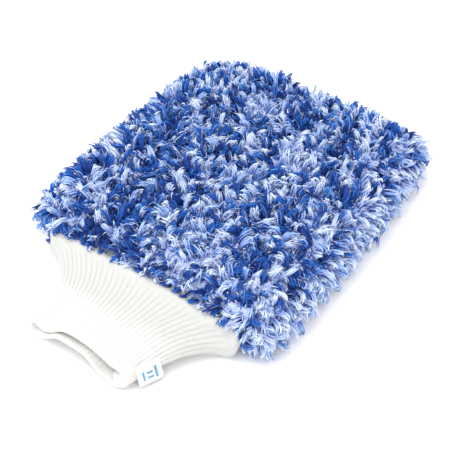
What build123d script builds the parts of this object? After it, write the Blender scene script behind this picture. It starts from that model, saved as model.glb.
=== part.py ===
"""Wash mitt: two plush pile panels on knitted cloth, a hand lining, a ribbed knit cuff and a sewn-in label.

Millimetres. +Y runs from the cuff's mouth to the fingertip end, +X across the mitt, +Z up. The origin is
under the middle of the whole mitt, on the surface that it lies on.

Everything above the parting plane hinges at the fingertip end, so that the mitt opens for a hand.
"""
from build123d import *
import math
import os

# --- Driving dimensions -----------------------------------------------------------------------------------
total_length = 285.0          # cuff mouth to fingertip end
cuff_length = 60.0            # mouth to the edge of the pile
mid_half_width = 104.0        # the plush body is widest about half way along
near_half_width = 96.0        # at the cuff end
far_half_width = 95.0         # at the fingertip corners
far_corner_drop = 5.0         # the fingertip end bows out past its corners by this much
near_corner_radius = 16.0
far_corner_radius = 30.0

pile_wall = 18.0              # pile that stands out sideways around the cloth core
bottom_pile = 10.0            # squashed under the mitt's own weight
cloth_thickness = 1.2
lining_thickness = 1.0
core_height = 17.0            # from one ground cloth's underside to the other's top face
total_height = 45.0
parting_height = 17.0         # the two pile panels meet here, all round the edge
top_rounding = 16.0
bottom_rounding = 5.0

edge_seam_width = 3.0
lining_seam_width = 2.0
cuff_seam_depth = 7.0
cuff_seam_thickness = 1.5
body_gap = 0.4                # between anything on the lower half and anything on the upper half

knit_thickness = 2.8          # two layers of rib knit, folded at the mouth
root_half_width = 77.0        # the cuff where it leaves the pile
mouth_half_width = 38.0
taper_power = 2.3             # how soon the gathered root narrows to the wrist
mouth_centre_x = 1.5
waist_drift_x = 4.5           # the wrist lies a little to the right of the mouth
root_levels = (11.0, 15.0, 27.0)      # underside, widest point, top
mouth_levels = (1.0, 7.0, 24.0)
cuff_fullness = (0.85, 0.6)   # squared off where it fills the seam, rounder at the mouth
split_levels = (19.0, 15.5)   # where the crown of the cuff parts from its trough, at root and mouth
side_seam_width = 3.0
side_seam_thickness = 0.8
side_seam_rise = 0.3          # above the cuff's widest level
side_seam_margin = 3.0        # stops short of the root and the mouth

label_stations = (0.6, 0.845)         # the label's two ends along the cuff
label_height = 12.0           # of the line that the label bends along
label_drop = 11.5
label_thickness = 0.8
label_lean = 22.0             # degrees out from straight down
label_clearance = 0.3         # between the hanging flap and the cuff
label_bend = 1.2              # soft length between the bend line and the free flap
stitch_rise = 1.0             # from the bend line up to the sewn-down band
stitch_band = 1.8
stitch_depth = 2.0            # enough to reach the flank behind it

# --- Derived dimensions -----------------------------------------------------------------------------------
far_y = total_length / 2
mouth_y = -total_length / 2
near_y = mouth_y + cuff_length
mid_y = (near_y + far_y) / 2
core_bottom = bottom_pile
core_top = core_bottom + core_height
lining_floor = core_bottom + cloth_thickness
lining_roof = core_top - cloth_thickness
lining_near_y = near_y + cuff_seam_depth
beyond = 4.0                  # how far a cutter runs past the face that it cuts
bore_overrun = 0.05           # how far the cuff's bore runs past its ends, as a share of its length
loft_steps = 6


# --- Helpers ----------------------------------------------------------------------------------------------
def body_outline(inset):
    """The mitt's plan outline, moved in by inset on its two sides and at the fingertip end."""
    near_x = near_half_width - inset
    mid_x = mid_half_width - inset
    far_x = far_half_width - inset
    corner_y = far_y - far_corner_drop - inset
    near_right = (near_x, near_y)
    near_left = (-near_x, near_y)
    far_right = (far_x, corner_y)
    far_left = (-far_x, corner_y)
    edges = [
        ThreePointArc(near_right, (mid_x, mid_y), far_right),
        ThreePointArc(far_right, (0, far_y - inset), far_left),
        ThreePointArc(far_left, (-mid_x, mid_y), near_left),
        Line(near_left, near_right),
    ]
    return make_face(edges)


def rounded_outline():
    """The pile's own outline, with its four corners rounded."""
    face = body_outline(0)
    face = fillet(face.vertices().sort_by(Axis.Y)[-2:], far_corner_radius)
    return fillet(face.vertices().sort_by(Axis.Y)[:2], near_corner_radius)


def slab(face, low, high):
    """A face on the ground plane, raised to low and thickened up to high."""
    return extrude(Pos(0, 0, low) * face, amount=high - low)


def open_core(inset, low, high):
    """A cutter for the core, which runs out through the cuff end."""
    width = 2 * (near_half_width - inset)
    way_out = Pos(0, near_y - beyond / 2, (low + high) / 2) * Box(width, beyond, high - low)
    return slab(body_outline(inset), low, high) + way_out


def behind(y):
    """A cutter that removes everything on the cuff's side of y."""
    depth = total_length
    return Pos(0, y - depth / 2, 0) * Box(2 * total_length, depth, 2 * total_length)


def between(levels, t):
    """A level that runs straight from the cuff's root, t = 0, to its mouth, t = 1."""
    return levels[0] + (levels[1] - levels[0]) * t


def cuff_half_width(t):
    """Half the flat width of the cuff, which narrows quickly from its gathered root."""
    narrowing = max(1.0 - t, 0.0) ** taper_power
    return mouth_half_width + (root_half_width - mouth_half_width) * narrowing


def cuff_centre_x(t):
    """How far the cuff's middle lies to the right of the mitt's."""
    return mouth_centre_x * t + waist_drift_x * math.sin(math.pi * t)


def cuff_levels(t):
    """The cuff's underside, widest point and top."""
    return [between(pair, t) for pair in zip(root_levels, mouth_levels)]


def quarter(reach_x, reach_z, fullness):
    """A quarter of the cuff's outline, from its side to its middle: round at 0.55, squarer towards 1."""
    return Bezier((reach_x, 0), (reach_x, fullness * reach_z), (fullness * reach_x, reach_z), (0, reach_z))


def cuff_section(t, inset):
    """The cuff's outline across the wrist at t, moved in by inset."""
    low, widest, high = cuff_levels(t)
    fullness = between(cuff_fullness, t)
    reach = cuff_half_width(t) - inset
    rise = high - widest - inset
    fall = widest - low - inset
    corners = [(reach, rise), (-reach, rise), (-reach, -fall), (reach, -fall)]
    quarters = [quarter(x, z, fullness) for x, z in corners]
    origin = (cuff_centre_x(t), near_y - cuff_length * t, widest)
    return Plane(origin=origin, x_dir=(1, 0, 0), z_dir=(0, -1, 0)) * make_face(quarters)


def cuff_volume(inset, overrun):
    """The cuff's outline carried from root to mouth, and past both by overrun."""
    stations = [-overrun + (1 + 2 * overrun) * i / loft_steps for i in range(loft_steps + 1)]
    return loft([cuff_section(t, inset) for t in stations])


def cuff_band(low_levels, high_levels):
    """Everything between two planes that slope from the cuff's root to its mouth."""
    near = near_y + beyond
    far = mouth_y - beyond
    corners = [(near, low_levels[0]), (far, low_levels[1]), (far, high_levels[1]), (near, high_levels[0])]
    profile = make_face(Polyline(*corners, close=True))
    return extrude(Plane.YZ * profile, amount=2 * near_half_width, both=True)


# --- Plush panels -----------------------------------------------------------------------------------------
def make_pile_top():
    """The upper pile panel: a rounded lid whose skirt wraps half way down the sides."""
    solid = slab(rounded_outline(), parting_height + body_gap, total_height)
    rim = solid.faces().sort_by(Axis.Z)[-1].edges()
    solid = fillet(rim, top_rounding)
    return solid - open_core(pile_wall, 0, core_top)


def make_pile_bottom():
    """The lower pile panel: a flat tray whose sides come up to meet the lid."""
    solid = slab(rounded_outline(), 0, parting_height)
    rim = solid.faces().sort_by(Axis.Z)[0].edges()
    solid = fillet(rim, bottom_rounding)
    return solid - open_core(pile_wall, core_bottom, total_height)


# --- Cloth core -------------------------------------------------------------------------------------------
def make_cloth(low):
    """One knitted ground cloth, which the pile is rooted in."""
    return slab(body_outline(pile_wall), low, low + cloth_thickness)


def make_lining(low):
    """One side of the smooth lining that the hand touches."""
    face = body_outline(pile_wall + edge_seam_width)
    return slab(face, low, low + lining_thickness) - behind(lining_near_y)


def make_edge_strip(inset, width, start_y, low, high):
    """A seam that follows both sides and the fingertip end, open at the cuff end."""
    strip = slab(body_outline(inset), low, high) - open_core(inset + width, low - beyond, high + beyond)
    return strip - behind(start_y)


def make_cuff_seam(low):
    """The overlocked seam allowance that joins the cuff to one pile panel, turned to the inside."""
    reach = near_half_width - pile_wall - edge_seam_width
    centre_y = near_y + cuff_seam_depth / 2
    centre_z = low + cuff_seam_thickness / 2
    return Pos(0, centre_y, centre_z) * Box(2 * reach, cuff_seam_depth, cuff_seam_thickness)


# --- Cuff -------------------------------------------------------------------------------------------------
def make_cuff_shell():
    """The whole cuff as one hollow tube, flat at the root and at the mouth."""
    return cuff_volume(0, 0) - cuff_volume(knit_thickness, bore_overrun)


def make_cuff_upper(shell):
    """The crown of the cuff, which lifts with the upper half of the mitt."""
    split = [level + body_gap / 2 for level in split_levels]
    return shell & cuff_band(split, [total_height, total_height])


def make_cuff_lower(shell):
    """The trough of the cuff and both its flanks."""
    split = [level - body_gap / 2 for level in split_levels]
    return shell & cuff_band([-beyond, -beyond], split)


def make_side_seam():
    """The cuff's own seam, inside the tube along its right flank."""
    bore = cuff_volume(knit_thickness, bore_overrun)
    strip = bore - cuff_volume(knit_thickness + side_seam_thickness, 2 * bore_overrun)
    low = [root_levels[1] + side_seam_rise, mouth_levels[1] + side_seam_rise]
    high = [level + side_seam_width for level in low]
    length = cuff_length - 2 * side_seam_margin
    right_side = Pos(near_half_width, (near_y + mouth_y) / 2, 0) * Box(
        2 * near_half_width, length, 2 * total_height
    )
    return strip & cuff_band(low, high) & right_side


# --- Label ------------------------------------------------------------------------------------------------
def flank_point(t):
    """Where the label's line passes the cuff's right flank, clear of it by half the label and a gap."""
    y = near_y - cuff_length * t
    level_line = Line((0, y, label_height), (near_half_width, y, label_height))
    inside = cuff_section(t, 0) & level_line
    surface_x = inside.bounding_box().max.X
    return Vector(surface_x + label_thickness / 2 + label_clearance, y, label_height)


def label_plane():
    """A plane on the bend line: x along it towards the mouth, y down the label, z out of its face."""
    start = flank_point(label_stations[0])
    along = (flank_point(label_stations[1]) - start).normalized()
    outward = Vector(-along.Y, along.X, 0)
    lean = math.radians(label_lean)
    down = outward * math.sin(lean) + Vector(0, 0, -1) * math.cos(lean)
    return Plane(origin=start, x_dir=along, z_dir=along.cross(down))


def label_length():
    """How far the label runs along the cuff."""
    return (flank_point(label_stations[1]) - flank_point(label_stations[0])).length


def make_label():
    """The free flap: a woven tape folded in half, which hangs from the bend line."""
    width = label_length()
    drop = label_drop - label_bend
    return label_plane() * Pos(width / 2, label_bend + drop / 2, 0) * Box(width, drop, label_thickness)


def make_label_stitching():
    """The sewn-down end of the label, just above the bend line and shaped to the flank behind it."""
    width = label_length()
    middle_y = -stitch_rise - stitch_band / 2
    middle_z = (label_thickness - stitch_depth) / 2
    block = Pos(width / 2, middle_y, middle_z) * Box(width, stitch_band, stitch_depth)
    return label_plane() * block - cuff_volume(0, 0)


# --- Build ------------------------------------------------------------------------------------------------
cuff_shell = make_cuff_shell()
mitt = {
    "pile_top": make_pile_top(),
    "pile_bottom": make_pile_bottom(),
    "backing_top": make_cloth(core_top - cloth_thickness),
    "backing_bottom": make_cloth(core_bottom),
    "edge_seam": make_edge_strip(
        pile_wall, edge_seam_width, near_y, lining_floor, parting_height
    ),
    "lining_top": make_lining(lining_roof - lining_thickness),
    "lining_bottom": make_lining(lining_floor),
    "lining_seam": make_edge_strip(
        pile_wall + edge_seam_width,
        lining_seam_width,
        lining_near_y,
        lining_floor + lining_thickness,
        lining_roof - lining_thickness - body_gap,
    ),
    "cuff_seam_top": make_cuff_seam(lining_roof - cuff_seam_thickness),
    "cuff_seam_bottom": make_cuff_seam(lining_floor),
    "cuff_upper": make_cuff_upper(cuff_shell),
    "cuff_lower": make_cuff_lower(cuff_shell),
    "cuff_side_seam": make_side_seam(),
    "label": make_label(),
    "label_stitching": make_label_stitching(),
}

os.makedirs("parts", exist_ok=True)
for node, shape in mitt.items():
    export_step(shape, f"parts/{node}.step")
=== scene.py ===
"""Wash mitt: the looks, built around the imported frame. Metres, in the frame of the CAD model."""

import math

import bpy
import numpy as np
from mathutils import Euler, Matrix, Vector, noise
from mathutils.bvhtree import BVHTree


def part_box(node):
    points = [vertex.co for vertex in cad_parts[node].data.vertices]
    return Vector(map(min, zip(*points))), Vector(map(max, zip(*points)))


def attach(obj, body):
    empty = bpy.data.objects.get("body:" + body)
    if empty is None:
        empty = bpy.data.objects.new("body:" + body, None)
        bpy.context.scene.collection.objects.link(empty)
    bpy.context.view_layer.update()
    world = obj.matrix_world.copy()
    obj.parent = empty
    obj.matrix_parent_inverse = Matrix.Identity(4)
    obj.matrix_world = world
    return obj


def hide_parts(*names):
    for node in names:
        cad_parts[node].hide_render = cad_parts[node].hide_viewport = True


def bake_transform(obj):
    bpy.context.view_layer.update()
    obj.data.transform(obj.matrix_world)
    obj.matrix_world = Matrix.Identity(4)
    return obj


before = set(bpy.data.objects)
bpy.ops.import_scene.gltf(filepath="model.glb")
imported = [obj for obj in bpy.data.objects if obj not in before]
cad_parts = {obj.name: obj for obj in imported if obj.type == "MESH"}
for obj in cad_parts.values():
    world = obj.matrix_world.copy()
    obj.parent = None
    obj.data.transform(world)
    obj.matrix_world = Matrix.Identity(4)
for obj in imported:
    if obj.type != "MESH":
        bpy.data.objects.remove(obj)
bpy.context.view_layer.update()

MM = 0.001

# --- Places that come from the frame ---
pile_low, pile_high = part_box("pile_top")
near_y = pile_low.y
far_y = pile_high.y
mid_y = (near_y + far_y) / 2
widest_half = pile_high.x
core_low_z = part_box("backing_bottom")[0].z
core_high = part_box("backing_top")[1]
core_half = core_high.x
lining_low_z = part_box("lining_bottom")[0].z
lining_low, lining_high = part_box("lining_top")
cuff_low, cuff_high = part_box("cuff_lower")
cuff_length = near_y - cuff_low.y
cuff_root_half = cuff_high.x
parting_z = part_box("pile_bottom")[1].z

# --- Shape of the plush body ---
near_narrowing = 3.5 * MM  # the sides bow out by this much in the middle
far_narrowing = 9.5 * MM
far_bow = 3 * MM  # and the fingertip end by this much
far_slant = 2 * MM  # its right end lies this much further out than its middle
near_squareness = (9, 22)  # of the outline's corners, left and right
far_squareness = (9, 22)
root_inset = 4.3 * MM  # from the pile's outline in to the layer that its strands grow from
root_near_inset = -0.3 * MM
root_low_z = 3.4 * MM
root_high_z = 30 * MM
root_top_rounding = 13 * MM
root_bottom_rounding = 5 * MM

# --- Shape of the pile ---
lock_gaps = (4.1 * MM, 6.5 * MM, 2.9 * MM)  # on what shows, on the underside and over the cuff's seam
lock_underside = -0.7  # what faces down more steeply than this is on the underside
lock_tries = 36000  # places drawn, of which those with a free gap round them are kept
lock_strands = (9, 13)  # fewest, and one more than the most
lock_strands_under = 5
lock_heights = (4.5 * MM, 9.5 * MM)
lock_reaches = (3.0 * MM, 10.5 * MM)
lock_spread = 2.3 * MM  # of the strands' roots round the lock's middle
lock_curl = 2.2 * MM
undercoat_gaps = (2.3 * MM, 12 * MM, 1.8 * MM)
undercoat_underside = -0.3
undercoat_tries = 60000
undercoat_heights = (2.0 * MM, 4.2 * MM)
undercoat_reaches = (1.5 * MM, 5.0 * MM)
undercoat_curl = 1.5 * MM
white_share = 0.48  # of all locks
undercoat_white_share = 0.58
loose_share = 0.17  # of the strands, which stray from their lock
loose_thickness = 0.22 * MM
strand_thickness = (0.38 * MM, 0.74 * MM)
same_draw_share = 0.7  # of the strands, which take their lock's colour
clearance = 2.2 * MM  # that the strands keep above and below the cuff
fringe_reach = 7 * MM  # from the near edge, of the denser pile that hides the cuff's seam
fringe_level = 24 * MM  # above which it grows
cuff_exit_level = 18 * MM  # middle and half height of the bare place where the cuff comes out
cuff_exit_half = 7 * MM
longest_step = 6 * MM  # a strand that must jump further to stay clear is left out

# --- Shape of the cuff ---
mouth_half = 38 * MM
taper_power = 2.3
mouth_centre_x = 1.5 * MM
root_centre_x = 4 * MM
waist_drift = 4.5 * MM  # how far the waist swings to the right
root_levels = (11 * MM, 15 * MM, 27 * MM)  # underside, widest point, top
mouth_levels = (1 * MM, 7 * MM, 24 * MM)
section_powers = (3.0, 2.6)  # squared off where it fills the seam, rounder at the mouth
root_droop = 6.5 * MM  # the gathered root's flanks hang down beside the seam
root_sag = 4 * MM  # and their undersides sag this much further
lower_power = 3.4  # the underside lies flat, out to the flanks
knit_thickness = 2.8 * MM
tuck = 1.6 * MM  # the knit is pressed in where the plush is sewn over it
rib_count = 64
top_dip = 3.5 * MM  # a hollow across the cuff's top, a third of the way to its mouth
press_all = 3.0 * MM  # the mouth's upper lip lies this much lower all along
press_left = (9.0 * MM, -28 * MM, 11 * MM)  # how much deeper at its left: depth, place and width
press_right = (6.0 * MM, 24 * MM, 11 * MM)
lip_arch = (10.5 * MM, -4.5 * MM, 18 * MM)  # the lower lip rises off the floor: height, place and width
floor_gap = 0.2 * MM

overlock_thread = 0.28 * MM  # radius of the seams' thread

# --- Shape of the label ---
label_shift = Vector((-1.2, -1.3, 0.8))  # the soft flank lies in a little from the CAD's
label_first = (Vector((48.485, -118.5, 12.0)) + label_shift) * MM  # the line that it bends on
label_last = (Vector((41.93, -133.2, 12.0)) + label_shift) * MM
label_down = Vector((0.3421, -0.1526, -0.9272))
label_out = Vector((0.8468, -0.3776, 0.3746))
label_drop = 11.2 * MM
label_rise = 2.7 * MM  # of the sewn-down band above the line
label_tape = 0.32 * MM  # thickness of one layer
label_bars = (  # across from, across to, top and foot in millimetres below the bend line
    (0.20, 0.30, 1.5, 9.0),
    (0.38, 0.62, 3.6, 4.9),
    (0.38, 0.62, 6.8, 8.1),
    (0.72, 0.80, 2.6, 8.4),
)


# --- Small helpers ---
def smooth(value):
    """0 below 0, 1 above 1, and an even curve between them."""
    clipped = np.clip(value, 0.0, 1.0)
    return clipped * clipped * (3 - 2 * clipped)


def bump(value, centre, width):
    """A bell of height 1 round a centre."""
    return np.exp(-(((value - centre) / width) ** 2))


def unit(vectors):
    """The same directions, each of length 1."""
    lengths = np.linalg.norm(vectors, axis=-1, keepdims=True)
    return vectors / np.maximum(lengths, 1e-9)


def field(points, scale, seed):
    """Soft noise, from about -1 to 1, at each point."""
    shift = Vector((seed * 7.31, seed * 3.17, seed * 5.53))
    return np.array([noise.noise(Vector(p) / scale + shift) for p in points])


def make_piece(name, vertices, faces, material):
    """A smooth-shaded mesh object."""
    mesh = bpy.data.meshes.new(name)
    mesh.from_pydata(vertices, [], faces)
    mesh.validate()
    mesh.shade_smooth()
    piece = bpy.data.objects.new(name, mesh)
    bpy.context.scene.collection.objects.link(piece)
    mesh.materials.append(material)
    return piece


def vertex_places(mesh):
    """Where each vertex is, one row each."""
    places = np.empty(len(mesh.vertices) * 3)
    mesh.vertices.foreach_get("co", places)
    return places.reshape(-1, 3)


def apply_modifiers(piece):
    """Replaces the piece's mesh with what its modifiers make of it."""
    graph = bpy.context.evaluated_depsgraph_get()
    mesh = bpy.data.meshes.new_from_object(piece.evaluated_get(graph), depsgraph=graph)
    piece.modifiers.clear()
    piece.data = mesh


def store(piece, name, values):
    """Keeps a number for each vertex, which a material reads by its name."""
    attribute = piece.data.attributes.new(name, "FLOAT", "POINT")
    attribute.data.foreach_set("value", values.astype(np.float32))


def thicken(piece, thickness, offset):
    """Gives a surface the thickness of cloth."""
    shell = piece.modifiers.new("thickness", "SOLIDIFY")
    shell.thickness = thickness
    shell.offset = offset
    apply_modifiers(piece)


def grid_faces(rows, columns, wrap_rows):
    """Quads of a grid whose columns run round a ring, and whose rows may close too."""
    here = np.arange(rows * columns).reshape(rows, columns)
    beside = np.roll(here, -1, axis=1)
    quads = np.stack([here, beside, np.roll(beside, -1, axis=0), np.roll(here, -1, axis=0)], axis=-1)
    return quads[:rows if wrap_rows else rows - 1].reshape(-1, 4).tolist()


def stack_mesh(name, rings, material):
    """A closed form through rings of points, from the lowest to the highest."""
    around = len(rings[0])
    faces = grid_faces(len(rings), around, wrap_rows=False)
    last = (len(rings) - 1) * around
    faces += [tuple(reversed(range(around))), tuple(range(last, last + around))]
    return make_piece(name, np.concatenate(rings).tolist(), faces, material)


def tube_mesh(name, lines, radius, material):
    """Round threads, one along each line of points, closed at their ends."""
    vertices, faces = [], []
    sides = 5
    for line in lines:
        line = np.asarray(line)
        tangent = unit(np.gradient(line, axis=0))
        first = unit(np.cross(tangent, (0.31, 0.17, 0.93)))
        second = np.cross(tangent, first)
        start = len(vertices)
        for angle in np.linspace(0, 2 * math.pi, sides, endpoint=False):
            edge = line + radius * (first * math.cos(angle) + second * math.sin(angle))
            vertices += edge.tolist()
        steps = len(line)
        for side in range(sides):
            here, beside = start + side * steps, start + (side + 1) % sides * steps
            faces += [(here + k, beside + k, beside + k + 1, here + k + 1) for k in range(steps - 1)]
        faces.append(tuple(start + side * steps for side in reversed(range(sides))))
        faces.append(tuple(start + side * steps + steps - 1 for side in range(sides)))
    return make_piece(name, vertices, faces, material)


def bend_with_mitt(piece):
    """Bakes the piece's placement into its mesh."""
    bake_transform(piece)


# --- Materials ---
def feed(material, target, value):
    """Links another node's output into an input, or sets the input to a number or a colour."""
    if isinstance(value, bpy.types.NodeSocket):
        material.node_tree.links.new(value, target)
    elif isinstance(value, tuple):
        target.default_value = (*value, 1)
    else:
        target.default_value = value


def node(material, kind, settings=None, inputs=None):
    """A new shader node with its settings, and its inputs by name or by number."""
    made = material.node_tree.nodes.new("ShaderNode" + kind)
    for name, value in (settings or {}).items():
        setattr(made, name, value)
    for name, value in (inputs or {}).items():
        feed(material, made.inputs[name], value)
    return made


def colour_mix(material, share, first, second):
    """A colour between two others, each a socket or three numbers."""
    return node(material, "Mix", {"data_type": "RGBA"}, {0: share, 6: first, 7: second}).outputs[2]


def arithmetic(material, operation, *values):
    """One Math node."""
    return node(material, "Math", {"operation": operation}, dict(enumerate(values))).outputs[0]


def texture(material, kind, place=None, settings=None, **inputs):
    """A texture's value, laid by the given coordinates."""
    if place is not None:
        inputs["Vector"] = place
    return node(material, "Tex" + kind, settings, inputs).outputs["Fac"]


def stored(material, name):
    """The number that was stored at each vertex under a name."""
    return node(material, "Attribute", {"attribute_name": name}).outputs["Fac"]


def remap(material, value, start, end, low=0.0, high=1.0):
    """A value that goes from low to high while another goes from start to end."""
    made = node(material, "MapRange", inputs={
        "Value": value, "From Min": start, "From Max": end, "To Min": low, "To Max": high,
    })
    return made.outputs["Result"]


def new_material(name, sheen=0.0, sheen_roughness=0.5):
    """A Principled material with the fabric's sheen set on its own socket."""
    material = bpy.data.materials.new(name)
    material.use_nodes = True
    shader = material.node_tree.nodes["Principled BSDF"]
    shader.inputs["Sheen Weight"].default_value = sheen
    shader.inputs["Sheen Roughness"].default_value = sheen_roughness
    shader.inputs["Specular IOR Level"].default_value = 0.3
    return material, shader


def connect(material, shader, colour, roughness, height=None, distance=None, strength=None):
    """Feeds a colour, a roughness and a height for the bump into the shader."""
    feed(material, shader.inputs["Base Color"], colour)
    feed(material, shader.inputs["Roughness"], roughness)
    if height is not None:
        bumped = node(material, "Bump", inputs={
            "Strength": strength, "Distance": distance, "Height": height,
        })
        feed(material, shader.inputs["Normal"], bumped.outputs["Normal"])


def pile_material(name, root_shade, pale):
    """Microfibre strands, each a little different, with painted shade: darker towards the root, where little
    light gets into the pile, and their lit colour at the tip.
    """
    material, shader = new_material(name, sheen=0.06, sheen_roughness=0.4)
    patches = texture(material, "Noise", Scale=90.0, Detail=2.0)
    # Painted shade: the colour runs along the strand from the root's shade colour to the lit tip colour,
    # mixed with each strand's own tone and soft patches.
    tip_light_and_tone = arithmetic(material, "MULTIPLY", stored(material, "along"), 1.3)
    tip_light_and_tone = arithmetic(material, "MULTIPLY_ADD", stored(material, "tone"), 0.35, tip_light_and_tone)
    tip_light_and_tone = arithmetic(material, "MULTIPLY_ADD", patches, 0.3, tip_light_and_tone)
    share = arithmetic(material, "SUBTRACT", tip_light_and_tone, 0.2)
    connect(material, shader, colour_mix(material, share, root_shade, pale), roughness=0.62)
    return material


def root_layer_material():
    """The matted roots of the pile, mottled in its two colours."""
    material, shader = new_material("pile_root_mat", sheen=0.2)
    place = node(material, "TexCoord").outputs["Object"]
    yarns = texture(material, "Noise", place, Scale=330.0, Detail=4.0, Distortion=1.5)
    yarns = arithmetic(material, "MULTIPLY_ADD", stored(material, "patches"), 0.25, yarns)
    fibres = texture(material, "Noise", place, Scale=1100.0)
    dark = colour_mix(material, fibres, (0.004, 0.025, 0.16), (0.01, 0.08, 0.42))
    light = colour_mix(material, fibres, (0.46, 0.58, 0.90), (0.72, 0.80, 0.97))
    spread = node(material, "ValToRGB", inputs={"Fac": yarns})
    spread.color_ramp.elements[0].position = 0.42
    spread.color_ramp.elements[1].position = 0.60
    colour = colour_mix(material, spread.outputs["Color"], dark, light)
    connect(material, shader, colour, 0.9, fibres, 0.6 * MM, 0.8)
    return material


def knit_material():
    """White rib knit: rows of small stitches along each rib, with a slightly warm, uneven white, painted
    shade in the rib grooves, and painted shade that darkens it towards the root.
    """
    material, shader = new_material("rib_knit", sheen=0.08)
    place = node(material, "UVMap", {"uv_map": "knit"})
    parts = node(material, "SeparateXYZ", inputs={"Vector": place.outputs["UV"]})
    rib, row = parts.outputs["X"], parts.outputs["Y"]
    across = arithmetic(material, "PINGPONG", arithmetic(material, "MULTIPLY", rib, 4.0), 1.0)
    slant = arithmetic(material, "MULTIPLY_ADD", across, 0.6, row)
    rows = arithmetic(material, "SINE", arithmetic(material, "MULTIPLY", slant, 2 * math.pi))
    fuzz = texture(material, "Noise", Scale=2400.0, Detail=3.0)
    patches = texture(material, "Noise", Scale=25.0, Detail=2.0)
    height = arithmetic(material, "MULTIPLY_ADD", rows, 0.3, fuzz)
    height = arithmetic(material, "MULTIPLY_ADD", across, 0.25, height)
    shade = arithmetic(material, "MULTIPLY_ADD", rows, 0.10, patches)
    # Painted shade: the white is darker near the root, where the tall pile shades the cuff, and lighter
    # towards the mouth.
    shaded_at_root = colour_mix(material, shade, (0.59, 0.595, 0.57), (0.65, 0.655, 0.635))
    lit_at_mouth = colour_mix(material, shade, (0.69, 0.69, 0.665), (0.75, 0.75, 0.73))
    plain = colour_mix(material, remap(material, row, 12.0, 28.0), shaded_at_root, lit_at_mouth)
    # Painted shade in the rib grooves: each groove is darkened towards a grey, most near the root and less
    # towards the mouth, and not at the cuff's very start.
    off_crown = arithmetic(material, "PINGPONG", rib, 0.5)
    groove = remap(material, off_crown, 0.28, 0.5)
    dark = arithmetic(material, "MULTIPLY", groove, remap(material, row, 2.0, 7.0))
    dark = arithmetic(material, "MULTIPLY", dark, remap(material, row, 14.0, 26.0, 0.65, 0.3))
    colour = colour_mix(material, dark, plain, (0.50, 0.495, 0.47))
    rough = remap(material, fuzz, 0.0, 1.0, 0.75, 0.95)
    connect(material, shader, colour, rough, height, 0.35 * MM, 0.6)
    return material


def finish_textile(material, shader, pattern, patches, low, high, rough, relief):
    """Colour, roughness and relief that all follow one fine pattern, over soft patches of tone."""
    share = arithmetic(material, "MULTIPLY_ADD", pattern, 0.4, patches)
    colour = colour_mix(material, arithmetic(material, "SUBTRACT", share, 0.1), low, high)
    connect(material, shader, colour, remap(material, pattern, 0.0, 1.0, *rough), pattern, *relief)
    return material


def cloth_material(name, low, high, weave_scale):
    """Plain knitted cloth: a fine crossed weave and soft patches."""
    material, shader = new_material(name, sheen=0.3)
    place = node(material, "TexCoord").outputs["Object"]
    waves = [
        texture(material, "Wave", place, {"bands_direction": direction},
                Scale=weave_scale, Distortion=1.5, Detail=1.0)
        for direction in ("X", "Y")
    ]
    weave = arithmetic(material, "MULTIPLY", *waves)
    patches = texture(material, "Noise", place, Scale=40.0)
    return finish_textile(material, shader, weave, patches, low, high, (0.7, 0.95), (0.3 * MM, 0.5))


def thread_material(name, low, high):
    """Spun thread: a fine twist and a slight change of tone along it."""
    material, shader = new_material(name, sheen=0.2)
    place = node(material, "TexCoord").outputs["Object"]
    twist = texture(material, "Wave", place, {"bands_direction": "DIAGONAL"}, Scale=900.0, Distortion=0.8)
    patches = texture(material, "Noise", place, Scale=160.0)
    return finish_textile(material, shader, twist, patches, low, high, (0.45, 0.7), (0.1 * MM, 0.4))


# --- The plush body ---
def half_width_at(y):
    """Half the plush body's width, which bows out towards its middle."""
    narrowing = np.where(y > mid_y, far_narrowing, near_narrowing)
    return widest_half - narrowing * ((y - mid_y) / (far_y - mid_y)) ** 2


def outline(angles, inset, near_inset):
    """Points round the plush body's plan outline, moved in from it."""
    across, along = np.cos(angles), np.sin(angles)
    side = (across > 0).astype(int)
    power = np.where(along > 0, np.take(far_squareness, side), np.take(near_squareness, side))
    reach = (np.abs(across) ** power + np.abs(along) ** power) ** (-1 / power)
    across, along = across * reach, along * reach
    first_y = near_y + near_inset
    last_y = far_y - inset + (far_slant * across - far_bow * across ** 2) * (along > 0)
    y = first_y + (along + 1) / 2 * (last_y - first_y)
    x = across * (half_width_at(y) - inset)
    return np.stack([x, y], axis=-1)


def rounding(z):
    """How far the root layer's edge is drawn in at a height, so that its rims are round."""
    above = np.clip((z - (root_high_z - root_top_rounding)) / root_top_rounding, 0, 1)
    below = np.clip((root_low_z + root_bottom_rounding - z) / root_bottom_rounding, 0, 1)
    top = root_top_rounding * (1 - math.sqrt(1 - above ** 2))
    bottom = root_bottom_rounding * (1 - math.sqrt(1 - below ** 2))
    return top + bottom


def make_root_pillow():
    """The closed, rounded slab that the pile's roots fill, before it is puffed up."""
    around = 144
    angles = np.linspace(0, 2 * math.pi, around, endpoint=False)
    steps = np.linspace(0, math.pi / 2, 6)
    low_rim = root_low_z + root_bottom_rounding * (1 - np.cos(steps))
    high_rim = root_high_z - root_top_rounding * (1 - np.sin(steps))
    levels = np.concatenate([low_rim, np.linspace(low_rim[-1], high_rim[0], 4)[1:-1], high_rim])
    rings = []
    for z in levels:
        drawn_in = rounding(z)
        ring = outline(angles, root_inset + drawn_in, root_near_inset + 0.25 * drawn_in)
        rings.append(np.column_stack([ring, np.full(around, z)]))
    return stack_mesh("plush_body", rings, root_layer_material())


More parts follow.
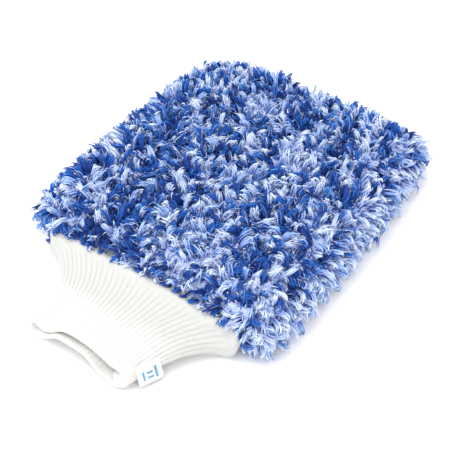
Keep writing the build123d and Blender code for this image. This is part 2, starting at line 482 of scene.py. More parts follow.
def puff_up(pillow, cap, pressure=4.0, frames=20):
    """Cloth simulation of the pillow under inner pressure, with no point moving further than cap."""
    remesh = pillow.modifiers.new("even_cloth", "REMESH")
    remesh.mode = "VOXEL"
    remesh.voxel_size = 5 * MM
    apply_modifiers(pillow)
    before = vertex_places(pillow.data)
    cloth = pillow.modifiers.new("cloth", "CLOTH")
    cloth.settings.use_pressure = True
    cloth.settings.uniform_pressure_force = pressure
    cloth.settings.effector_weights.gravity = 0
    for step in range(1, frames + 1):
        bpy.context.scene.frame_set(step)
    apply_modifiers(pillow)
    bpy.context.scene.frame_set(1)
    moved = vertex_places(pillow.data) - before
    lengths = np.linalg.norm(moved, axis=1, keepdims=True)
    moved *= np.minimum(1.0, cap / np.maximum(lengths, 1e-9))
    swell = field(before.tolist(), 38 * MM, seed=4)[:, None] * 1.6 * MM
    after = before + moved + swell * (before[:, 2:] > parting_z) * np.array([0, 0, 1])
    after[:, 2] = np.maximum(after[:, 2], root_low_z)
    pillow.data.vertices.foreach_set("co", after.ravel())
    pillow.data.update()
    subdivision = pillow.modifiers.new("smoother", "SUBSURF")
    subdivision.levels = 1
    subdivision.render_levels = 1
    apply_modifiers(pillow)
    pillow.data.shade_smooth()


def hollow_out(pillow):
    """Cuts the space for the cloth core, which runs out through the cuff end."""
    angles = np.linspace(0, 2 * math.pi, 96, endpoint=False)
    ring = outline(angles, widest_half - core_half, 0)
    ring[:, 1] = np.where(ring[:, 1] < near_y + 20 * MM, near_y - 10 * MM, ring[:, 1])
    rings = [np.column_stack([ring, np.full(len(ring), z)]) for z in (core_low_z, core_high.z)]
    cutter = stack_mesh("cutter", rings, pillow.data.materials[0])
    cut = pillow.modifiers.new("pocket", "BOOLEAN")
    cut.operation = "DIFFERENCE"
    cut.solver = "EXACT"
    cut.object = cutter
    apply_modifiers(pillow)
    bpy.data.objects.remove(cutter)


# --- The pile's strands ---
strand_rings = 5  # rings of three points, and then the tip
strand_profile = np.array([0.7, 1.0, 1.0, 0.82, 0.5])
most_strands_in_a_piece = 7000


def spacing(places, facing, gaps, under_facing):
    """The gap wanted round each place; what faces down more steeply than a limit is the underside."""
    shown, under, over_seam = gaps
    at_seam = (places[:, 1] < near_y + fringe_reach) & (places[:, 2] > fringe_level)
    return np.where(at_seam, over_seam, np.where(facing[:, 2] < under_facing, under, shown))


def scatter(mesh, gaps, under_facing, candidates, rng):
    """Places on a mesh at about even distances: where each is, and which way it faces."""
    mesh.calc_loop_triangles()
    count = len(mesh.loop_triangles)
    corners = np.empty(count * 3, int)
    mesh.loop_triangles.foreach_get("vertices", corners)
    a, b, c = np.moveaxis(vertex_places(mesh)[corners.reshape(-1, 3)], 1, 0)
    normals = np.cross(b - a, c - a)
    areas = np.linalg.norm(normals, axis=1)
    chosen = rng.choice(count, candidates, p=areas / areas.sum())
    u, v = rng.random((2, candidates, 1))
    flip = u + v > 1
    u, v = np.where(flip, 1 - u, u), np.where(flip, 1 - v, v)
    places = a[chosen] + u * (b - a)[chosen] + v * (c - a)[chosen]
    facing = unit(normals[chosen])
    wanted = spacing(places, facing, gaps, under_facing)
    cell = wanted.max()
    taken = {}
    kept = []
    for i, (place, gap) in enumerate(zip(places, wanted)):
        key = tuple((place // cell).astype(int))
        near = [
            k for dx in (-1, 0, 1) for dy in (-1, 0, 1) for dz in (-1, 0, 1)
            for k in taken.get((key[0] + dx, key[1] + dy, key[2] + dz), ())
        ]
        if near and (np.linalg.norm(places[near] - place, axis=1) < gap).any():
            continue
        taken.setdefault(key, []).append(i)
        kept.append(i)
    return places[kept], facing[kept]


def onto(mesh_tree, places, facing):
    """The same places moved along their own direction onto another mesh."""
    found, directions = [], []
    for place, normal in zip(places, facing):
        start = Vector(place + normal * 25 * MM)
        hit, hit_normal, _, _ = mesh_tree.ray_cast(start, Vector(-normal), 45 * MM)
        found.append(place if hit is None else np.array(hit))
        directions.append(normal if hit is None else np.array(hit_normal))
    return np.array(found), unit(np.array(directions))


def combed(places, facing, rng):
    """The way each lock lies: swirls over the faces, hanging down on the sides."""
    turn = 2.6 * math.pi * field(places, 40 * MM, seed=1) + 1.6 * rng.standard_normal(len(places))
    swirl = np.column_stack([np.cos(turn), np.sin(turn), np.zeros(len(places))])
    hang = np.array([0.0, 0.0, -1.1]) * (1 - np.abs(facing[:, 2:])) ** 0.5
    over_seam = np.array([0.0, -1.5, 0.0]) * smooth((near_y + 11 * MM - places[:, 1]) / (8 * MM))[:, None]
    lean = swirl + hang + over_seam
    flat = lean - facing * np.sum(lean * facing, axis=1, keepdims=True)
    return unit(flat)


def strand_lines(locks, rng):
    """The centre line of every strand, one row of points each."""
    root, facing, comb = locks["root"], locks["facing"], locks["comb"]
    count = len(root)
    side = np.cross(facing, comb)
    s = np.linspace(0, 1, strand_rings + 1)[None, :, None]

    def each(values):
        return np.asarray(values)[:, None, None]

    spread_angle = rng.uniform(0, 2 * math.pi, count)
    spread = locks["spread"] * np.sqrt(rng.random(count))
    aside = np.cos(spread_angle) * spread, np.sin(spread_angle) * spread
    hook = locks["hook"] * rng.uniform(0.85, 1.1, count)
    height = locks["height"] * rng.uniform(0.75, 1.2, count)
    reach = locks["reach"] * rng.uniform(0.75, 1.2, count)
    curl = locks["curl"] + 1.2 * MM * rng.standard_normal(count)
    phase = rng.uniform(0, 2 * math.pi, count)
    # With a hook over 0.5 the strand's tip comes down again.
    rise = np.sin(math.pi * each(hook) * s) / np.sin(math.pi * np.minimum(each(hook), 0.5))
    wave = np.sin(5.5 * s + each(phase)) - np.sin(each(phase))
    offset = comb[:, None, :] * each(aside[0]) + side[:, None, :] * each(aside[1])
    line = root[:, None, :] + offset * (1 - each(locks["gather"]) * s)
    line = line + facing[:, None, :] * each(height) * rise
    line = line + comb[:, None, :] * each(reach) * s ** 1.3
    line = line + side[:, None, :] * (each(curl) * s ** 2 + 0.35 * MM * wave)
    return line


def keep_clear(line, thickness):
    """The lines moved off the floor and the cuff, and which of the strands are still smooth after it."""
    x, y, z = np.moveaxis(line, -1, 0)
    t = np.clip((near_y - y) / cuff_length, 0, 1)
    centre, half = cuff_centre(t), cuff_half(t) + 1.5 * MM
    low, widest, high = [between(pair, t) for pair in zip(root_levels, mouth_levels)]
    aside = np.clip(np.abs(x - centre) / half, 0, 1)
    over = widest + (high - widest + clearance) * (1 - aside ** 3) ** (1 / 3)
    under = widest - (widest - low + clearance) * (1 - aside ** 3) ** (1 / 3)
    by_cuff = (y < near_y) & (aside < 1)
    z = np.where(by_cuff & (z >= widest) & (z < over), over, z)
    z = np.where(by_cuff & (z < widest) & (z > under), under, z)
    z = np.maximum(z, thickness[:, None] + 0.15 * MM)
    cleared = np.stack([x, y, z], axis=-1)
    steps = np.linalg.norm(np.diff(cleared, axis=1), axis=2)
    return cleared, steps.max(axis=1) < longest_step


def strand_mesh(name, line, thickness, tone, material):
    """One piece of many tapering three-sided strands, each closed at its root and pointed at its tip."""
    count = len(line)
    tangent = np.gradient(line, axis=1)
    reference = unit(np.cross(tangent[:, 0], tangent[:, -1]) + 1e-7)
    first = unit(np.cross(tangent, reference[:, None, :]))
    second = unit(np.cross(tangent, first))
    sizes = thickness[:, None] * strand_profile[None, :]
    rings = []
    for corner in range(3):
        angle = corner * 2 * math.pi / 3
        ring = first[:, :-1] * math.cos(angle) + second[:, :-1] * math.sin(angle)
        rings.append(line[:, :-1] + ring * sizes[:, :, None])
    body = np.stack(rings, axis=2).reshape(count, -1, 3)
    vertices = np.concatenate([body, line[:, -1:]], axis=1)
    per_strand = strand_rings * 3 + 1
    pattern = [(2, 1, 0)]
    for ring in range(strand_rings - 1):
        for corner in range(3):
            beside = (corner + 1) % 3
            here, above = ring * 3, ring * 3 + 3
            pattern.append((here + corner, here + beside, above + beside, above + corner))
    last = (strand_rings - 1) * 3
    pattern += [(last + corner, last + (corner + 1) % 3, per_strand - 1) for corner in range(3)]
    starts = range(0, count * per_strand, per_strand)
    faces = [tuple(start + i for i in face) for start in starts for face in pattern]
    piece = make_piece(name, vertices.reshape(-1, 3).tolist(), faces, material)
    along = np.append(np.repeat(np.arange(strand_rings) / strand_rings, 3), 1.0)
    store(piece, "along", np.tile(along, count))
    store(piece, "tone", np.repeat(tone, per_strand))
    return piece


# Each family's first colour is painted shade at the strands' roots, the second their lit colour at the tips;
# the white family's root shade is blue, painted light from the blue strands round it.
pile_families = {
    "navy": pile_material("pile_navy", (0.003, 0.018, 0.13), (0.006, 0.046, 0.29)),
    "royal": pile_material("pile_royal", (0.004, 0.052, 0.31), (0.012, 0.125, 0.52)),
    "azure": pile_material("pile_azure", (0.02, 0.13, 0.46), (0.10, 0.29, 0.72)),
    "lilac": pile_material("pile_lilac", (0.14, 0.28, 0.76), (0.46, 0.63, 0.97)),
    "white": pile_material("pile_white", (0.20, 0.35, 0.84), (0.75, 0.83, 0.98)),
}
blue_lock_shares = (0.27, 0.55, 0.13, 0.02, 0.03)  # of each family, in that order
white_lock_shares = (0.0, 0.03, 0.05, 0.27, 0.65)


def behind_cuff(places, facing):
    """Which places lie on the near wall, where the cuff comes out of it."""
    on_wall = (places[:, 1] < near_y + 12 * MM) & (facing[:, 1] < -0.5)
    between_ends = np.abs(places[:, 0] - root_centre_x) < cuff_root_half - root_centre_x
    return on_wall & between_ends & (np.abs(places[:, 2] - cuff_exit_level) < cuff_exit_half)


def colour_patches(places):
    """Where white yarn outnumbers blue, above 0, and the other way round, below it."""
    turned = places @ np.array(Euler((0.6, 0.8, 0.5)).to_matrix())
    patches = 1.7 * field(turned, 9.5 * MM, seed=2) + 1.3 * field(turned, 5.5 * MM, seed=9)
    return patches + 0.22 * places[:, 0] / widest_half


def paler_edges(places):
    """How much more white yarn there is low on the right side and in the near left corner."""
    right_side = smooth((places[:, 0] - 0.76 * widest_half) / (0.14 * widest_half))
    near_left = smooth((-places[:, 0] - 0.72 * widest_half) / (0.15 * widest_half))
    near_left = near_left * smooth((near_y + 30 * MM - places[:, 1]) / (12 * MM))
    return 0.9 * (right_side * (places[:, 2] < 26 * MM) + near_left)


def make_roots(start_mesh, tree, gaps, under_facing, tries, rng):
    """Where the pile grows on the puffed-up body, and which way it faces there."""
    places, facing = scatter(start_mesh, gaps, under_facing, tries, rng)
    places, facing = onto(tree, places, facing)
    in_way = behind_cuff(places, facing)
    return places[~in_way], facing[~in_way]


def lock_growth(places, facing):
    """How tall and how far-reaching a lock grows at a place, as shares, and how upright it stands."""
    tall = np.where(facing[:, 2] < -0.5, 0.16, 1.0)  # pressed flat underneath
    tall = tall * (1 + 0.15 * smooth((0.8 - np.abs(facing[:, 2])) / 0.5))  # and fuller on the sides
    # The near wall's pile is short low down, and further up at its left end.
    low_limit = np.where(places[:, 0] < -0.6 * widest_half, 22 * MM, 12 * MM)
    low_on_near_wall = (facing[:, 1] < -0.5) & (places[:, 2] < low_limit)
    upright = smooth(places[:, 1] / (100 * MM)) * smooth(facing[:, 2] / 0.6)
    at_seam = smooth((near_y + 9 * MM - places[:, 1]) / (6 * MM))
    tall = tall * np.where(low_on_near_wall, 0.35, 1.0) * (1 - 0.3 * at_seam)
    return tall, (1 - 0.5 * upright) * (1 - 0.42 * at_seam), upright


def make_locks(start_mesh, tree, rng):
    """Every lock of pile, repeated once for each of its strands."""
    places, facing = make_roots(start_mesh, tree, lock_gaps, lock_underside, lock_tries, rng)
    count = len(places)
    comb = combed(places, facing, rng)
    white = rng.random(count) < white_share + colour_patches(places) + paler_edges(places)
    strands = np.where(facing[:, 2] < -0.5, lock_strands_under, rng.integers(*lock_strands, count))
    tall, far, upright = lock_growth(places, facing)
    height = rng.uniform(*lock_heights, count) * tall
    reach = rng.uniform(*lock_reaches, count) * far
    curl = lock_curl * rng.standard_normal(count)
    hook = rng.uniform(0.40, 0.85 - 0.22 * upright)
    repeat = np.repeat(np.arange(count), strands)
    loose = rng.random(len(repeat)) < loose_share
    return {
        "root": places[repeat],
        "facing": facing[repeat],
        "comb": comb[repeat],
        "white": np.where(loose, rng.random(len(repeat)) < 0.5, white[repeat]),
        "height": height[repeat],
        "reach": reach[repeat],
        "curl": curl[repeat] * np.where(loose, 2.6, 1.0),
        "loose": loose,
        "hook": hook[repeat],
        "spread": np.full(len(repeat), lock_spread),
        "gather": rng.uniform(0.55, 1.0, count)[repeat] * np.where(loose, 0.0, 1.0),
        "tone": rng.random(count)[repeat],
        "draw": rng.random(count)[repeat],
    }


def make_undercoat(start_mesh, tree, rng):
    """Short single yarn ends that fill the gaps between the locks."""
    places, facing = make_roots(start_mesh, tree, undercoat_gaps, undercoat_underside, undercoat_tries, rng)
    count = len(places)
    return {
        "root": places,
        "facing": facing,
        "comb": combed(places, facing, rng),
        "white": rng.random(count) < undercoat_white_share + 1.5 * colour_patches(places),
        "height": rng.uniform(*undercoat_heights, count),
        "reach": rng.uniform(*undercoat_reaches, count),
        "curl": undercoat_curl * rng.standard_normal(count),
        "hook": rng.uniform(0.45, 0.8, count),
        "tone": rng.random(count),
        "draw": rng.random(count),
        **dict.fromkeys(("loose", "spread", "gather"), np.zeros(count)),
    }


def family_of(white, draw):
    """The number of each strand's colour family."""
    of_white = np.searchsorted(np.cumsum(white_lock_shares), draw)
    of_blue = np.searchsorted(np.cumsum(blue_lock_shares), draw)
    return np.minimum(np.where(white, of_white, of_blue), len(pile_families) - 1)


def make_pile(start_mesh, tree):
    """All the strands, split into pieces by colour."""
    rng = np.random.default_rng(11)
    long_locks = make_locks(start_mesh, tree, rng)
    undercoat = make_undercoat(start_mesh, tree, rng)
    locks = {key: np.concatenate([long_locks[key], undercoat[key]]) for key in long_locks}
    count = len(locks["root"])
    line = strand_lines(locks, rng)
    thickness = np.where(locks["loose"], loose_thickness, rng.uniform(*strand_thickness, count))
    line, holds = keep_clear(line, thickness)
    tone = np.clip(0.6 * locks["tone"] + 0.4 * rng.random(count), 0, 1)
    draw = np.where(rng.random(count) < same_draw_share, locks["draw"], rng.random(count))
    family = family_of(locks["white"], draw)
    pieces = []
    for index, (colour, material) in enumerate(pile_families.items()):
        members = np.flatnonzero((family == index) & holds)
        parts = max(1, math.ceil(len(members) / most_strands_in_a_piece))
        for part, chosen in enumerate(np.array_split(members, parts)):
            name = f"pile_{colour}_{part + 1}"
            pieces.append(strand_mesh(name, line[chosen], thickness[chosen], tone[chosen], material))
    return pieces


# --- The cuff ---
def between(pair, t):
    """A value that runs straight from the cuff's root, t = 0, to its mouth, t = 1."""
    return pair[0] + (pair[1] - pair[0]) * t


def cuff_half(t):
    """Half the flat width of the cuff."""
    return mouth_half + (cuff_root_half - 1.5 * MM - mouth_half) * np.maximum(1.0 - t, 0.0) ** taper_power


def cuff_centre(t):
    """How far the cuff's middle lies to the right of the mitt's."""
    return between((root_centre_x, mouth_centre_x), np.maximum(t, 0.0)) + waist_drift * np.sin(math.pi * t)


def cuff_levels(t):
    """Heights of the cuff's underside, its widest point and its top."""
    low, widest, high = [between(pair, t) for pair in zip(root_levels, mouth_levels)]
    droop = root_droop * smooth(t / 0.05) * math.exp(-((t / 0.28) ** 2))
    dip = top_dip * bump(t, 0.32, 0.20)
    return low - droop, widest - droop, high - dip


def cuff_section(t, share):
    """The plain section at t, about its widest point, from its right side round over the top."""
    fine = np.linspace(0, 2 * math.pi, 1441)
    power = between(section_powers, max(t, 0.0))
    low, widest, high = cuff_levels(t)
    across, up = np.cos(fine), np.sin(fine)
    tall = np.where(up > 0, high - widest, widest - low)
    power = np.where(up > 0, power, np.maximum(power, lower_power))
    x = np.sign(across) * np.abs(across) ** (2 / power) * cuff_half(t)
    z = np.sign(up) * np.abs(up) ** (2 / power) * tall
    length = np.concatenate([[0], np.cumsum(np.hypot(np.diff(x), np.diff(z)))])
    wanted = share * length[-1]
    return np.interp(wanted, length, x), np.interp(wanted, length, z)


def cuff_ring(t, share):
    """Points round the cuff at t, at even shares of the way round, as it sags, sinks in and folds."""
    low, widest, high = cuff_levels(t)
    x, z = cuff_section(t, share)
    open_share = smooth((t - 0.45) / 0.55)  # 0 up to the waist and 1 at the mouth
    upper = smooth(z / (high - widest) * 1.4)
    lower = smooth(-z / (widest - low) * 1.4)
    pressed = press_all
    for depth, place, width in (press_left, press_right):
        pressed = pressed + depth * bump(x, place, width)
    rise, place, width = lip_arch
    fold = rise * np.exp(-(((x - place) / width) ** 4))
    sag = root_sag * smooth(t / 0.06) * math.exp(-((t / 0.4) ** 2))
    sag = sag * smooth(np.abs(x) / cuff_half(t) * 2 - 0.8)
    z = z + widest + open_share * (fold * lower - pressed * upper) - sag * lower
    z = np.maximum(z, 0.9 * MM)
    # The upper lip is set back, and the lower one juts out a little at its right.
    set_back = MM * open_share * (2.6 * upper - 1.2 * lower * smooth((x - 5 * MM) / (20 * MM)))
    y = near_y - cuff_length * t + set_back
    return np.column_stack([x + cuff_centre(t), y, z])


def cuff_relief(t, share, ribs, drift):
    """How far the outer face stands out of the plain tube, with its gathers at the root's two ends."""
    from_right = np.minimum(share, 1 - share)
    right_gather = np.cos(2 * math.pi * 13 * (share - 0.12 * t)) * bump(share, 0.07, 0.075)
    right_gather = right_gather * np.exp(-np.maximum(t, 0) / 0.32)
    left_gather = np.cos(2 * math.pi * 17 * share) * bump(share, 0.45, 0.05)
    left_gather = left_gather * np.exp(-np.maximum(t, 0) / 0.2)
    seam_ridge = bump(t, 0.04, 0.045)
    corner = bump(from_right, 0.0, 0.03) * bump(t, 0.10, 0.07)
    relief = MM * (
        0.62 * ribs
        + 1.6 * seam_ridge
        + 0.8 * drift * smooth(t / 0.2)
        + 1.2 * right_gather
        + 0.9 * left_gather
        + 2.2 * corner
    )
    return relief * smooth((t + 0.04) / 0.07) - tuck * smooth((-0.012 - t) / 0.03)


def lay_stitches(cuff, rows_along, around, per_rib):
    """A map for the knit's material: ribs counted round the cuff, and rows of stitches along it."""
    uv = cuff.data.uv_layers.new(name="knit")
    corner_vertices = np.empty(len(cuff.data.loops), int)
    cuff.data.loops.foreach_get("vertex_index", corner_vertices)
    column = corner_vertices % around
    starts = np.arange(len(corner_vertices)) // 4 * 4
    wrapped = (column == 0) & (np.maximum.reduceat(column, np.unique(starts))[starts // 4] == around - 1)
    u = (column + wrapped * around) / per_rib
    v = rows_along[corner_vertices // around]
    uv.data.foreach_set("uv", np.column_stack([u, v]).ravel())


def cuff_wall(t, ribs, drift, left_end, right_end):
    """How thick the knit is: thinner where it is tucked in and at the left end of the mouth."""
    wall = knit_thickness - tuck * 0.6 * smooth(-t / 0.03)
    wall = wall + MM * (0.45 * ribs + 0.5 * drift) * (1 - right_end)
    return wall * (1 - 0.6 * left_end)


def rolled_lip(outer, inner, length_way):
    """Rows of points that carry the outer face over the mouth's edge to the inner one, in a soft roll."""
    middle = (outer + inner) / 2
    arm = (outer - inner) / 2
    size = np.linalg.norm(arm, axis=1, keepdims=True)
    roll = length_way * np.minimum(1.2 * size, 3.2 * MM)
    steps = np.linspace(0, math.pi, 9)[1:-1]
    return np.array([middle + arm * math.cos(a) + roll * math.sin(a) for a in steps])


def make_cuff():
    """One tube of double rib knit: outer face, rounded lip at the mouth, and inner face."""
    per_rib = 6
    around = rib_count * per_rib
    share = np.arange(around) / around
    outer_t = np.linspace(-0.10, 0.97, 74)  # from inside the plush to where the lip rolls over
    centres = np.array([cuff_ring(t, share) for t in outer_t])
    round_way = unit(np.roll(centres, -1, axis=1) - np.roll(centres, 1, axis=1))
    length_way = unit(np.gradient(centres, axis=0))
    outward = unit(np.cross(round_way, length_way))
    left_share = share[np.argmin(centres[-1][:, 0])]
    t, share = outer_t[:, None], share[None, :]
    rib = np.abs(np.cos(math.pi * rib_count * share)) ** 0.6
    ribbed = smooth((t - 0.02) / 0.13) * (1 - 0.55 * smooth((t - 0.84) / 0.12))
    ribs = ribbed * (rib - 0.6)
    drift = field(centres.reshape(-1, 3).tolist(), 22 * MM, seed=6).reshape(len(outer_t), around)
    outer = centres + outward * cuff_relief(t, share, ribs, drift)[:, :, None]
    near_mouth = smooth((t - 0.72) / 0.2)
    right_end = bump(np.minimum(share, 1 - share), 0.0, 0.06) * near_mouth
    left_end = bump(share, left_share, 0.06) * near_mouth
    inner = centres - outward * cuff_wall(t, ribs, drift, left_end, right_end)[:, :, None]
    inner[:, :, 0] += MM * (0.8 * left_end - 8.5 * right_end)  # closed at the mouth's right end
    lip = rolled_lip(outer[-1], inner[-1], length_way[-1])
    rows = np.concatenate([outer, lip, inner[::-1]])
    rows[:, :, 2] = np.maximum(rows[:, :, 2], floor_gap)
    faces = grid_faces(len(rows), around, wrap_rows=True)
    cuff = make_piece("rib_cuff", rows.reshape(-1, 3).tolist(), faces, knit_material())
    stitch_height = 1.6 * MM
    along = np.concatenate([outer_t, np.full(len(lip), 1.0), outer_t[::-1]])
    lay_stitches(cuff, along * cuff_length / stitch_height, around, per_rib)
    root_ring = (outer[2] + inner[2]) / 2
    side_line = inner[8:66, 0] - outward[8:66, 0] * 1.0 * MM
    return cuff, root_ring, side_line


# --- The cloth inside ---
def make_sack(name, half_width, low_z, high_z, first_y, last_y, thickness, material, seed):
    """A soft flat pouch, open towards the cuff and closed at the fingertip end, with shallow creases."""
    around, rows = 120, 46
    turns = np.linspace(0, 2 * math.pi, around, endpoint=False)
    middle_z, tall = (low_z + high_z) / 2, (high_z - low_z) / 2
    rings = []
    for row in range(rows):
        share = math.sin(math.pi / 2 * row / (rows - 1))
        y = first_y + (last_y - first_y) * share
        narrowing = (half_width_at(y) - half_width_at(mid_y)) * smooth((last_y - y) / (60 * MM))
        corner = (1 - 0.9995 * share ** 14) ** (1 / 9)
        wide = (half_width + narrowing) * max(corner, 0.72)
        thick = tall * max((1 - share ** 30) ** 0.5, 0.12)
        across, up = np.cos(turns), np.sin(turns)
        x = np.sign(across) * np.abs(across) ** (2 / 2.6) * wide
        z = np.sign(up) * np.abs(up) ** (2 / 5.0) * thick
        rings.append(np.column_stack([x, np.full(around, y), z + middle_z]))
    points = np.concatenate(rings)
    crease = field(points.tolist(), 26 * MM, seed) + 0.5 * field(points.tolist(), 11 * MM, seed + 1)
    calm = smooth((points[:, 1] - first_y) / (12 * MM)) * smooth((last_y - points[:, 1]) / (12 * MM))
    points[:, 2] -= np.sign(points[:, 2] - middle_z) * np.abs(crease) * 1.1 * MM * calm
    faces = grid_faces(rows, around, wrap_rows=False)
    last = (rows - 1) * around
    half_way = around // 2
    faces += [
        (last + k, last + k + 1, last + around - k - 1, last + (around - k) % around)
        for k in range(half_way)
    ]
    faces = [face for face in faces if len(set(face)) == 4]
    sack = make_piece(name, points.tolist(), faces, material)
    thicken(sack, thickness, -1)
    return sack


def overlock(name, path, sideways, upright, pitch, material):
    """One thread sewn over and over round a raw edge: a long coil that follows a path."""
    path = np.asarray(path)
    steps = np.concatenate([[0], np.cumsum(np.linalg.norm(np.diff(path, axis=0), axis=1))])
    turns = int(steps[-1] / pitch)
    wanted = np.linspace(0, steps[-1], turns * 10)
    centre = np.column_stack([np.interp(wanted, steps, path[:, axis]) for axis in range(3)])
    tangent = unit(np.gradient(centre, axis=0))
    side = unit(np.cross(tangent, np.array([0.0, 0.0, 1.0])))
    over = np.cross(side, tangent)
    angle = wanted / pitch * 2 * math.pi
    coil = centre + side * (np.cos(angle) * sideways)[:, None] + over * (np.sin(angle) * upright)[:, None]
    return tube_mesh(name, [coil], overlock_thread, material)


# --- The label ---
def label_point(across, down, out):
    """A place on the label: along the line that it bends on, down from it, and out from the cuff."""
    curl = 0.5 * MM * smooth(down / label_drop) * math.sin(math.pi * (0.15 + 0.8 * across))
    along = label_first.lerp(label_last, across)
    return along + label_down * down + label_out * (out + curl)


def tape_patch(first, last, rises, step_count):
    """Grid of label points: across from first to last, through (down, out) steps of the tape's path."""
    across = np.linspace(first, last, step_count)
    points = [tuple(label_point(a, down, out)) for down, out in rises for a in across]
    faces = []
    for start in range(0, (len(rises) - 1) * step_count, step_count):
        for k in range(start, start + step_count - 1):
            faces.append((k, k + 1, k + step_count + 1, k + step_count))
    return points, faces


def make_label(material, bar_material):
    """Woven tape folded double at its lower edge, with raised plain bars on its front."""
    fold = label_tape
    front = [(d, 2 * fold) for d in np.linspace(-label_rise, label_drop - fold, 22)]
    bottom = [
        (label_drop - fold + fold * math.sin(a), fold + fold * math.cos(a))
        for a in np.linspace(0, math.pi, 7)[1:-1]
    ]
    back = [(d, 0.0) for d in np.linspace(label_drop - fold, -label_rise, 22)]
    label = make_piece("woven_label", *tape_patch(0.0, 1.0, front + bottom + back, 18), material)
    thicken(label, label_tape, 0.0)
    raised = 2 * fold + label_tape / 2 + 0.07 * MM
    points, faces = [], []
    for first, last, top, foot in label_bars:
        rises = [(d * MM, raised) for d in np.linspace(top, foot, 6)]
        patch, quads = tape_patch(first, last, rises, 5)
        faces += [tuple(corner + len(points) for corner in quad) for quad in quads]
        points += patch
    bars = make_piece("label_bars", points, faces, bar_material)
    thicken(bars, 0.14 * MM, 0.0)
    return label, bars


def make_label_stitches(material):
    """Short stitches that hold the top of the label to the cuff."""
    lines = []
    count = 8
    for k in range(count):
        spread = np.linspace(0, 1, 9)
        across = (k + 0.18 + 0.64 * spread) / count
        arch = np.sin(math.pi * spread)
        out = 0.75 * MM + 0.32 * MM * arch - 0.5 * MM * (1 - arch) ** 4
        lines.append([tuple(label_point(a, -1.8 * MM, o)) for a, o in zip(across, out)])
    return tube_mesh("label_stitches", lines, 0.16 * MM, material)


# --- Build ---
def sew_in(piece, slot, *replaced):
    """A cloth piece inside the plush or at its end: its placement baked into its mesh, and the parts that it
    stands for hidden. The slot is not used.
    """
    bend_with_mitt(piece)
    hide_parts(*replaced)


plush = make_root_pillow()
start_mesh = plush.data.copy()
puff_up(plush, cap=6 * MM)
tree = BVHTree.FromObject(plush, bpy.context.evaluated_depsgraph_get())
pile = make_pile(start_mesh, tree)
hollow_out(plush)
store(plush, "patches", colour_patches(vertex_places(plush.data)))
for piece in [plush] + pile:
    bend_with_mitt(piece)
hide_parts("pile_top", "pile_bottom")

cuff, cuff_root_ring, cuff_side_line = make_cuff()
sew_in(cuff, "rib_knit", "cuff_upper", "cuff_lower")

ground_material = cloth_material("ground_cloth", (0.16, 0.22, 0.50), (0.26, 0.34, 0.68), 420)
ground = make_sack("ground_cloth", core_half, core_low_z + 0.1 * MM, core_high.z - 0.1 * MM,
                   near_y + 4 * MM, core_high.y, 0.6 * MM, ground_material, seed=21)
sew_in(ground, "ground_cloth", "backing_top", "backing_bottom")

lining_material = cloth_material("lining_cloth", (0.52, 0.52, 0.51), (0.68, 0.68, 0.66), 300)
lining = make_sack("hand_lining", lining_high.x - 0.4 * MM, lining_low_z + 0.2 * MM,
                   lining_high.z - 0.2 * MM, lining_low.y, lining_high.y, 0.8 * MM, lining_material, seed=31)
sew_in(lining, "lining_cloth", "lining_top", "lining_bottom", "lining_seam")

seam_material = thread_material("seam_thread", (0.55, 0.55, 0.53), (0.70, 0.70, 0.68))
edge_angles = np.linspace(-0.16 * math.pi, 1.16 * math.pi, 200)
edge_path = outline(edge_angles, widest_half - core_half + 1.9 * MM, 3 * MM)
edge_path = np.column_stack([edge_path, np.full(len(edge_path), 14.1 * MM)])
edge_path = edge_path[edge_path[:, 1] > near_y + 8 * MM]
edge = overlock("edge_overlock", edge_path, 0.7 * MM, 2.3 * MM, 2.4 * MM, seam_material)
sew_in(edge, "seam_thread", "edge_seam")

cuff_edge = overlock("cuff_overlock", np.vstack([cuff_root_ring, cuff_root_ring[:1]]),
                     1.7 * MM, 1.3 * MM, 2.4 * MM, seam_material)
sew_in(cuff_edge, "seam_thread", "cuff_seam_top", "cuff_seam_bottom")

side_seam = overlock("cuff_side_overlock", cuff_side_line, 0.5 * MM, 1.5 * MM, 2.2 * MM, seam_material)
sew_in(side_seam, "seam_thread", "cuff_side_seam")

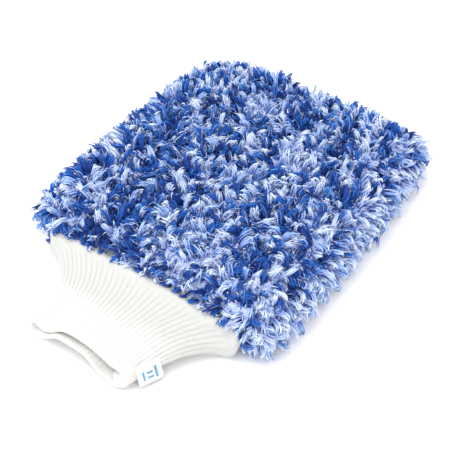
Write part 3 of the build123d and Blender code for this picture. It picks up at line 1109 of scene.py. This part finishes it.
tape_material = cloth_material("label_tape", (0.70, 0.72, 0.74), (0.78, 0.80, 0.82), 900)
bar_material = thread_material("label_bar_thread", (0.10, 0.27, 0.45), (0.17, 0.40, 0.60))
label, bars = make_label(tape_material, bar_material)
for piece in (label, bars):
    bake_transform(piece)
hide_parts("label")

stitches = make_label_stitches(seam_material)
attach(stitches, "mitt_lower")
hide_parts("label_stitching")


# --- Floor, light and camera ---
def make_floor():
    """A plain pale floor."""
    reach = 4.0
    corners = [(-reach, -reach, 0), (reach, -reach, 0), (reach, reach, 0), (-reach, reach, 0)]
    material, shader = new_material("floor")
    shader.inputs["Base Color"].default_value = (0.96, 0.96, 0.965, 1)
    shader.inputs["Roughness"].default_value = 0.9
    floor = make_piece("floor", corners, [(0, 1, 2, 3)], material)


def aim(name, data, place, direction):
    """A lamp or camera at a place, pointing in a direction."""
    item = bpy.data.objects.new(name, data)
    item.location = place
    item.rotation_mode = "QUATERNION"
    item.rotation_quaternion = direction.to_track_quat("-Z", "Y")
    bpy.context.scene.collection.objects.link(item)
    return item


def make_light(name, place, size, power):
    """A large soft lamp that points at the mitt."""
    lamp = bpy.data.lights.new(name, "AREA")
    lamp.shape = "DISK"
    lamp.size = size
    lamp.energy = power
    aim(name, lamp, Vector(place), -Vector(place))


def make_camera():
    """The camera, in front of the cuff and to its right, half way up."""
    target = Vector((18.9, -11.4, 18.9)) * MM
    azimuth, elevation, distance = math.radians(35.05), math.radians(44.93), 651 * MM
    back = Vector((
        math.sin(azimuth) * math.cos(elevation),
        -math.cos(azimuth) * math.cos(elevation),
        math.sin(elevation),
    ))
    camera = bpy.data.cameras.new("camera")
    camera.lens = 78.8
    camera.sensor_width = 36
    bpy.context.scene.camera = aim("camera", camera, target + back * distance, -back)


make_floor()
make_light("key", (-0.5, -0.3, 1.5), 1.2, 12)
make_light("fill", (1.2, -0.9, 0.9), 1.2, 3)
world = bpy.data.worlds.new("studio")
world.use_nodes = True
world.node_tree.nodes["Background"].inputs["Color"].default_value = (1, 1, 1, 1)
world.node_tree.nodes["Background"].inputs["Strength"].default_value = 1.3
bpy.context.scene.world = world
bpy.context.scene.view_settings.view_transform = "Standard"
make_camera()
